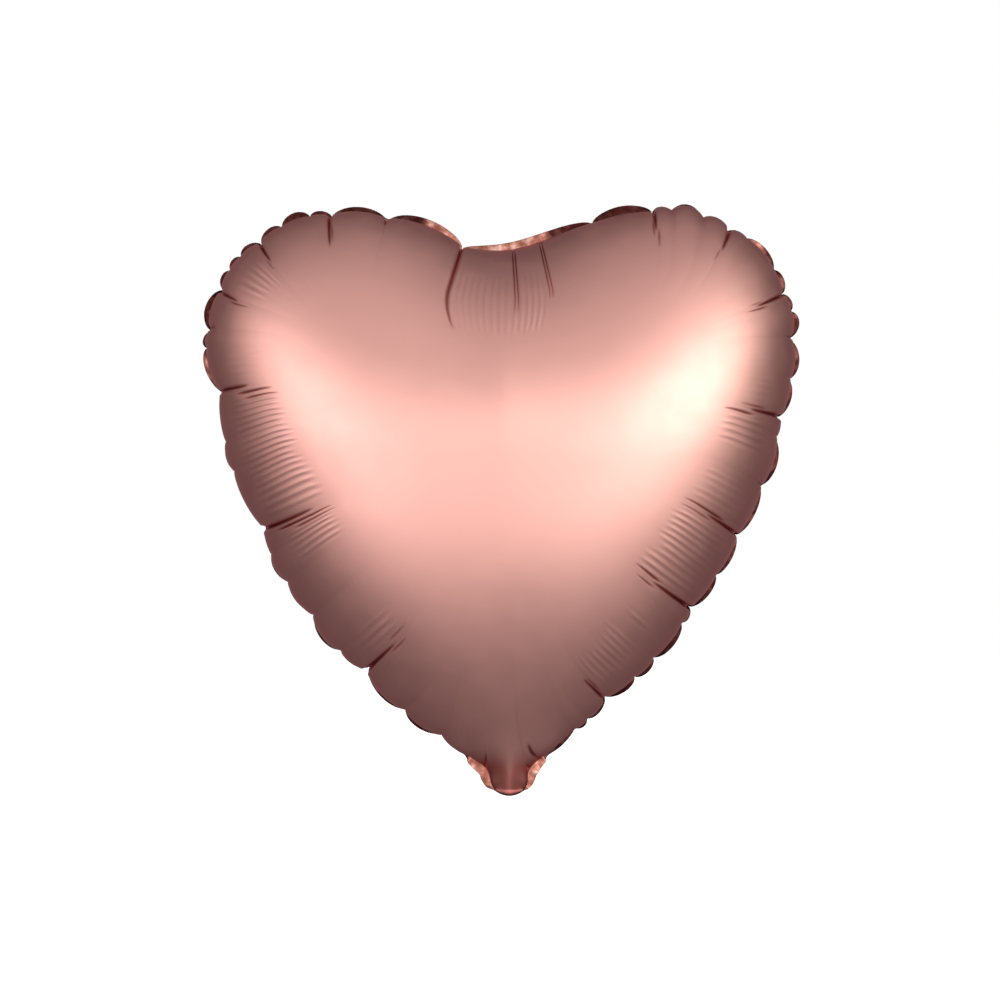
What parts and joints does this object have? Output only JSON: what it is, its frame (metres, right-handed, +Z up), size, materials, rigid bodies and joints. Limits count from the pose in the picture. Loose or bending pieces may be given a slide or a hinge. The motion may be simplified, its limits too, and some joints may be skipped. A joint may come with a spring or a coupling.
{
  "type": "heart-shaped foil balloon",
  "caption": "Inflated heart-shaped balloon of satin metallic film with a puckered welded rim, a narrow neck and a valved tail folded up behind.",
  "frame": {"origin": "the neck just below the heart's tip, on the seam plane, where a ribbon ties round it", "axes": "+Z up through the heart, X across its width, the front panel faces -Y and the folded tail is on the +Y side"},
  "size_m": [0.381, 0.1746, 0.3757],
  "materials": {
    "satin_foil": "satin metallised film, rose copper",
    "copper_weld": "glossy metallised film, deep copper",
    "valve_film": "clear thin polyethylene film"
  },
  "bodies": {
    "balloon": {"front_panel": "satin_foil", "back_panel": "satin_foil", "seam_rim": "copper_weld", "neck_front_ply": "satin_foil", "neck_back_ply": "satin_foil", "valve_front_film": "valve_film", "valve_back_film": "valve_film", "valve_side_welds": "valve_film"},
    "tail": {"tail_fold": "copper_weld", "tail_front_ply": "satin_foil", "tail_back_ply": "satin_foil", "tail_weld": "copper_weld", "tail_valve_front_film": "valve_film", "tail_valve_back_film": "valve_film", "tail_valve_side_welds": "valve_film"}
  },
  "joints": [
    {"name": "tail_fold_hinge", "type": "hinge", "parent": "balloon", "child": "tail", "pos_m": [0, 0.002, -0.0085], "axis": [-1, 0, 0], "range_deg": [0, 147]}
  ]
}
